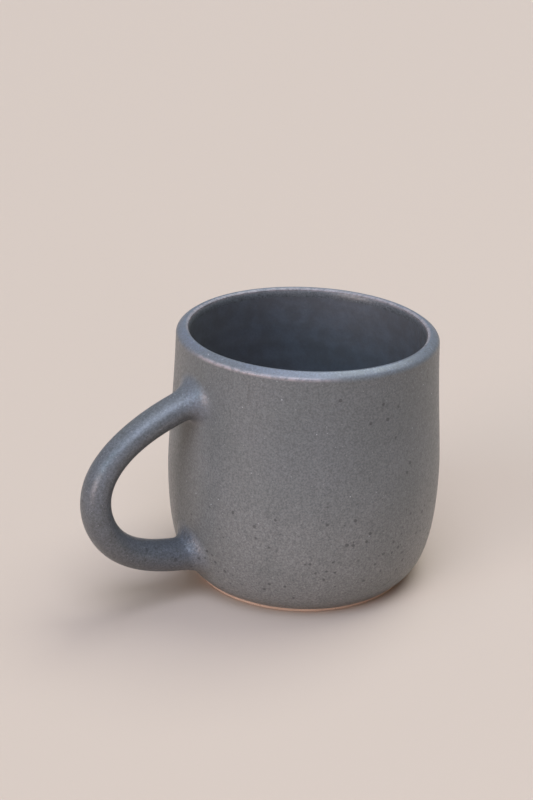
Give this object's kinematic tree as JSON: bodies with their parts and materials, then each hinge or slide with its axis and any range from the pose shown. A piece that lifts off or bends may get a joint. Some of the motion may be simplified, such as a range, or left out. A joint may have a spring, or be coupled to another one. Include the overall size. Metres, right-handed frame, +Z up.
{
  "type": "ceramic mug",
  "caption": "Rounded stoneware drinking mug with a soft lip, an ear-shaped pulled handle, a satin charcoal glaze and a bare clay foot.",
  "frame": {"origin": "centre of the flat underside of the foot, on the cup's axis", "axes": "+Z up the cup's axis; the handle points along -X and lies in the XZ plane; +Y is across the handle"},
  "size_m": [0.1269, 0.09, 0.085],
  "materials": {
    "bare_clay": "matte",
    "dried_slip": "matte",
    "charcoal_glaze": "satin",
    "liner_glaze": "satin"
  },
  "bodies": {
    "root": {"cup_body": "bare_clay", "handle": "bare_clay", "upper_luting_slip": "dried_slip", "lower_luting_slip": "dried_slip", "upper_root_coil": "bare_clay", "lower_root_coil": "bare_clay", "outer_glaze": "charcoal_glaze", "handle_glaze": "charcoal_glaze", "liner_glaze": "liner_glaze"}
  },
  "joints": []
}
